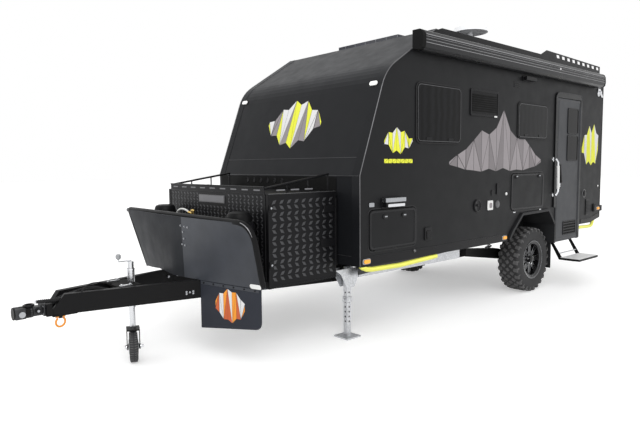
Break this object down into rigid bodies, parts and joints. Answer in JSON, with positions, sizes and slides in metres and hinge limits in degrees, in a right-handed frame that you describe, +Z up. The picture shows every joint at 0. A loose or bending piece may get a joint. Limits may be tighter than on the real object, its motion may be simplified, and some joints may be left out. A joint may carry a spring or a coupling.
{
  "type": "hybrid caravan",
  "caption": "Compact off-road hybrid caravan on an A-frame drawbar with toolbox, stone guard, awning, hinged entry door and hatches, fold-out step, jockey stand and drop-down legs.",
  "frame": {"origin": "on the ground, under the middle of the whole vehicle's box", "axes": "+X forwards towards the coupling, +Y towards the entry side, +Z up"},
  "size_m": [7.544, 2.501, 3.21],
  "materials": {
    "charcoal_panel": "satin charcoal composite panel",
    "nose_panel_grey": "satin grey composite panel",
    "frame_black": "satin black powder coat",
    "checker_plate": "black coated checker plate",
    "rubber": "matt",
    "tyre": "matt",
    "rim_black": "gloss black",
    "galvanised": "galvanised",
    "lime_paint": "satin",
    "tinted_glass": "dark tinted acrylic",
    "white_plastic": "satin",
    "chrome": "polished"
  },
  "bodies": {
    "caravan": {"wall_left": "charcoal_panel", "wall_right": "charcoal_panel", "nose_panel": "nose_panel_grey", "roof_panel": "charcoal_panel", "rear_panel": "charcoal_panel", "floor_deck": "frame_black", "window_front_left": "tinted_glass", "window_rear_left": "tinted_glass", "window_front_right": "tinted_glass", "window_rear_right": "tinted_glass", "vent_left": "frame_black", "wheel_arch_left": "frame_black", "wheel_arch_right": "frame_black", "chassis_frame": "frame_black", "coupling": "galvanised", "jockey_sleeve": "galvanised", "trailing_arm_left": "frame_black", "trailing_arm_right": "frame_black", "coil_spring_left": "chrome", "coil_spring_right": "chrome", "step_mount": "frame_black", "toolbox": "checker_plate", "stone_guard": "frame_black", "guard_flap": "rubber", "gas_bottle_left": "frame_black", "gas_bottle_right": "frame_black", "side_tube_front_left": "lime_paint", "side_tube_front_right": "lime_paint", "side_tube_rear_left": "lime_paint", "side_tube_rear_right": "lime_paint", "side_guard_left": "galvanised", "side_guard_right": "galvanised", "water_tank": "galvanised", "awning_case": "frame_black", "roof_rail_left": "frame_black", "roof_rail_right": "frame_black", "solar_panel": "tinted_glass", "antenna": "white_plastic", "grab_handle": "chrome", "porch_lamp": "white_plastic", "work_lamp": "white_plastic", "rear_bumper": "frame_black"},
    "wheel_left": {"tyre_left": "tyre", "rim_left": "rim_black"},
    "wheel_right": {"tyre_right": "tyre", "rim_right": "rim_black"},
    "jockey_leg": {"jockey_leg": "galvanised"},
    "jockey_fork": {"jockey_fork": "frame_black"},
    "jockey_wheel": {"jockey_wheel": "rubber"},
    "leg_front_left": {"leg_front_left": "galvanised"},
    "leg_front_right": {"leg_front_right": "galvanised"},
    "leg_rear_left": {"leg_rear_left": "galvanised"},
    "leg_rear_right": {"leg_rear_right": "galvanised"},
    "entry_door": {"entry_door": "charcoal_panel"},
    "picnic_hatch": {"picnic_hatch": "charcoal_panel"},
    "boot_hatch_left": {"boot_hatch_left": "charcoal_panel"},
    "boot_hatch_right": {"boot_hatch_right": "charcoal_panel"},
    "toolbox_door_left": {"toolbox_door_left": "checker_plate"},
    "toolbox_door_right": {"toolbox_door_right": "checker_plate"},
    "entry_step": {"entry_step": "frame_black"}
  },
  "joints": [
    {"name": "wheel_left_spin", "type": "hinge", "parent": "caravan", "child": "wheel_left", "pos_m": [-1.82, 0.7815, 0.4], "axis": [0, 1, 0], "continuous": true},
    {"name": "wheel_right_spin", "type": "hinge", "parent": "caravan", "child": "wheel_right", "pos_m": [-1.82, -1.0415, 0.4], "axis": [0, 1, 0], "continuous": true},
    {"name": "jockey_lift", "type": "slide", "parent": "caravan", "child": "jockey_leg", "axis": [0, 0, 1], "range_m": [0, 0.155]},
    {"name": "jockey_swivel", "type": "hinge", "parent": "jockey_leg", "child": "jockey_fork", "pos_m": [2.895, -0.13, 0.262], "axis": [0, 0, 1], "continuous": true},
    {"name": "jockey_wheel_spin", "type": "hinge", "parent": "jockey_fork", "child": "jockey_wheel", "pos_m": [2.91748, -0.07437, 0.125], "axis": [-0.9272, 0.3746, 0], "continuous": true},
    {"name": "leg_front_left_swing", "type": "hinge", "parent": "caravan", "child": "leg_front_left", "pos_m": [1.18, 0.65, 0.63], "axis": [0, 1, 0], "range_deg": [0, 90]},
    {"name": "leg_front_right_swing", "type": "hinge", "parent": "caravan", "child": "leg_front_right", "pos_m": [1.18, -0.91, 0.63], "axis": [0, 1, 0], "range_deg": [0, 90]},
    {"name": "leg_rear_left_swing", "type": "hinge", "parent": "caravan", "child": "leg_rear_left", "pos_m": [-3.15, 0.37, 0.63], "axis": [0, 1, 0], "range_deg": [0, 90]},
    {"name": "leg_rear_right_swing", "type": "hinge", "parent": "caravan", "child": "leg_rear_right", "pos_m": [-3.15, -0.63, 0.63], "axis": [0, 1, 0], "range_deg": [0, 90]},
    {"name": "entry_door_hinge", "type": "hinge", "parent": "caravan", "child": "entry_door", "pos_m": [-2.89, 0.975, 1.497], "axis": [0, 0, 1], "range_deg": [0, 100]},
    {"name": "picnic_hatch_hinge", "type": "hinge", "parent": "caravan", "child": "picnic_hatch", "pos_m": [-1.53, 0.971, 1.049], "axis": [-1, 0, 0], "range_deg": [0, 90]},
    {"name": "boot_hatch_left_hinge", "type": "hinge", "parent": "caravan", "child": "boot_hatch_left", "pos_m": [0.9045, 0.971, 0.839], "axis": [-1, 0, 0], "range_deg": [0, 90]},
    {"name": "boot_hatch_right_hinge", "type": "hinge", "parent": "caravan", "child": "boot_hatch_right", "pos_m": [0.9045, -1.231, 0.839], "axis": [1, 0, 0], "range_deg": [0, 90]},
    {"name": "toolbox_door_left_hinge", "type": "hinge", "parent": "caravan", "child": "toolbox_door_left", "pos_m": [1.366, 0.6975, 1], "axis": [0, 0, 1], "range_deg": [0, 90]},
    {"name": "toolbox_door_right_hinge", "type": "hinge", "parent": "caravan", "child": "toolbox_door_right", "pos_m": [1.366, -0.9575, 1], "axis": [0, 0, -1], "range_deg": [0, 90]},
    {"name": "entry_step_fold", "type": "hinge", "parent": "caravan", "child": "entry_step", "pos_m": [-2.64, 0.87, 0.56], "axis": [1, 0, 0], "range_deg": [-100, 0]}
  ]
}
